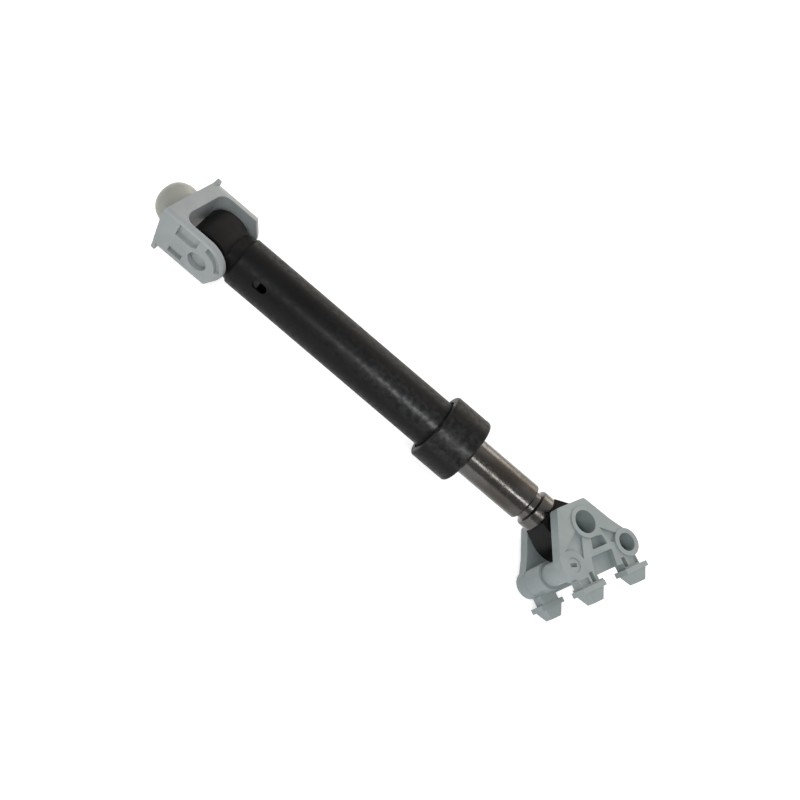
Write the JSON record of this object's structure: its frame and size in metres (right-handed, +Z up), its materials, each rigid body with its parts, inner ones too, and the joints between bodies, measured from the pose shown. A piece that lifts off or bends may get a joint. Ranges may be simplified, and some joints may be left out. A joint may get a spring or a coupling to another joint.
{
  "type": "washing machine shock absorber",
  "caption": "Friction damper for a washing machine tub: clevis with a domed plug, tube with a collar, sliding rod and a clip-in foot bracket.",
  "frame": {"origin": "centre of the tub plug's seat, on the outer face of the clevis", "axes": "+X along the damper towards the foot bracket, +Y along the upper pivot, +Z up along the lower pivot, as the damper lies"},
  "size_m": [0.2815, 0.0501, 0.0386],
  "materials": {
    "white_nylon": "satin moulded nylon, off-white",
    "cream_plastic": "satin moulded plastic, cream",
    "grey_nylon": "satin moulded nylon, light blue-grey",
    "black_plastic": "semi-gloss moulded plastic, black",
    "bright_steel": "bright drawn steel tube",
    "rubber": "black rubber",
    "foam": "greased open-cell foam"
  },
  "bodies": {
    "cylinder": {"outer_tube": "black_plastic", "upper_eye_bush": "rubber", "bump_stop": "rubber", "guide_bush": "white_nylon", "collar_housing": "black_plastic", "lining_washer_inner": "white_nylon", "lining_sleeve": "white_nylon", "friction_lining": "foam", "lining_washer_outer": "white_nylon", "collar_end_cap": "black_plastic"},
    "clevis": {"upper_clevis": "white_nylon", "tub_plug": "cream_plastic", "upper_pivot_pin": "white_nylon"},
    "piston": {"guide_piston": "white_nylon"},
    "rod": {"plunger_rod": "bright_steel", "rod_end": "black_plastic"},
    "foot": {"foot_bracket_front": "grey_nylon", "foot_bracket_rear": "grey_nylon"}
  },
  "joints": [
    {"name": "upper_pivot", "type": "hinge", "parent": "cylinder", "child": "clevis", "pos_m": [0.02, 0, 0], "axis": [0, 1, 0], "range_deg": [-50, 50]},
    {"name": "rod_slide", "type": "slide", "parent": "cylinder", "child": "piston", "axis": [1, 0, 0], "range_m": [-0.0318, 0.0546]},
    {"name": "rod_swivel", "type": "hinge", "parent": "piston", "child": "rod", "pos_m": [0.0855, 0, 0], "axis": [1, 0, 0], "continuous": true},
    {"name": "lower_pivot", "type": "hinge", "parent": "rod", "child": "foot", "pos_m": [0.23, 0, 0], "axis": [0, 0, 1], "range_deg": [-29, 91]}
  ]
}
